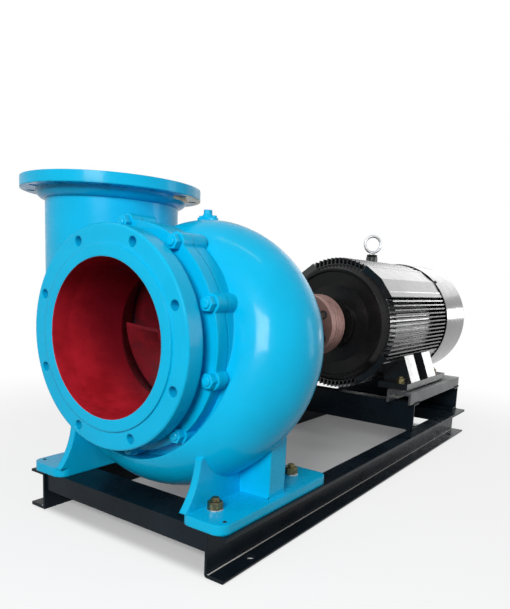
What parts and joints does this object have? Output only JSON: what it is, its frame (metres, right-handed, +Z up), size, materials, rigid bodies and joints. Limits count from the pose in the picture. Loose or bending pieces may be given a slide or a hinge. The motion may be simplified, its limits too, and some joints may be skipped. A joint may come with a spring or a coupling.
{
  "type": "horizontal volute pump set",
  "caption": "Horizontal mixed-flow volute water pump with open suction flange, pin coupling and finned electric motor on a channel-steel base.",
  "frame": {"origin": "middle of the base's underside, the centre of the four anchor holes", "axes": "+X along the shaft from the suction flange to the motor, +Z up, +Y to the left of someone who looks into the suction"},
  "size_m": [1.8825, 0.839, 0.833],
  "materials": {
    "blue_paint": "satin",
    "liner_red": "satin",
    "gasket_sheet": "matte",
    "blue_bolts": "satin",
    "dark_cast": "satin",
    "zinc_bolts": "satin",
    "ground_steel": "ground",
    "coupling_iron": "machined",
    "rubber": "matte",
    "yellow_zinc": "satin",
    "motor_black": "gloss",
    "core_steel": "matte",
    "copper_winding": "varnished",
    "fan_plastic": "matte",
    "base_black": "gloss",
    "rail_grey": "satin"
  },
  "bodies": {
    "pump_set": {"base_beam_far": "base_black", "base_beam_near": "base_black", "bearing_bracket": "dark_cast", "bearing_cover_bolts": "zinc_bolts", "bearing_cover_inner": "dark_cast", "bearing_cover_outer": "dark_cast", "bracket_bolts": "zinc_bolts", "cover_gasket": "gasket_sheet", "cover_nuts": "blue_bolts", "cover_studs": "blue_bolts", "cowl_screws": "zinc_bolts", "cross_channels": "base_black", "drain_plug": "zinc_bolts", "end_shield_drive": "motor_black", "end_shield_fan": "motor_black", "entry_plug": "rubber", "eye_bolt": "motor_black", "fan_cowl": "motor_black", "gland_bolts": "zinc_bolts", "lid_screws": "zinc_bolts", "motor_bearing_cap": "motor_black", "motor_bearing_outer_rings": "ground_steel", "motor_foot_bolts": "yellow_zinc", "motor_frame": "motor_black", "motor_rails": "rail_grey", "motor_shims": "rail_grey", "oil_plugs": "zinc_bolts", "packing_gland": "dark_cast", "packing_rings": "gasket_sheet", "pedestal_channels": "base_black", "priming_plug": "blue_bolts", "pump_bearing_outer_rings": "ground_steel", "pump_foot_bolts": "yellow_zinc", "pump_foot_nuts": "yellow_zinc", "pump_foot_washers": "yellow_zinc", "rear_cover": "dark_cast", "stator_core": "core_steel", "stator_windings": "copper_winding", "suction_cover": "blue_paint", "terminal_block": "fan_plastic", "terminal_box": "motor_black", "terminal_box_lid": "motor_black", "volute_casing": "blue_paint", "wear_liner": "liner_red"},
    "pump_rotor": {"impeller": "liner_red", "impeller_nut": "liner_red", "pump_shaft": "ground_steel", "shaft_sleeve": "ground_steel", "pump_bearing_inner_rings": "ground_steel", "coupling_hub_pump": "coupling_iron", "coupling_key_pump": "ground_steel", "coupling_bushes": "rubber"},
    "motor_rotor": {"motor_shaft": "ground_steel", "rotor_core": "core_steel", "motor_bearing_inner_rings": "ground_steel", "cooling_fan": "fan_plastic", "coupling_hub_motor": "coupling_iron", "coupling_key_motor": "ground_steel", "coupling_pins": "ground_steel"}
  },
  "joints": [
    {"name": "motor_spin", "type": "hinge", "parent": "pump_set", "child": "motor_rotor", "pos_m": [0.3, 0, 0.471], "axis": [1, 0, 0], "continuous": true},
    {"name": "pump_spin", "type": "hinge", "parent": "pump_set", "child": "pump_rotor", "pos_m": [-0.3, 0, 0.471], "axis": [1, 0, 0], "continuous": true}
  ],
  "couplings": [
    {"joint": "pump_spin", "follows": "motor_spin", "ratio": 1}
  ]
}
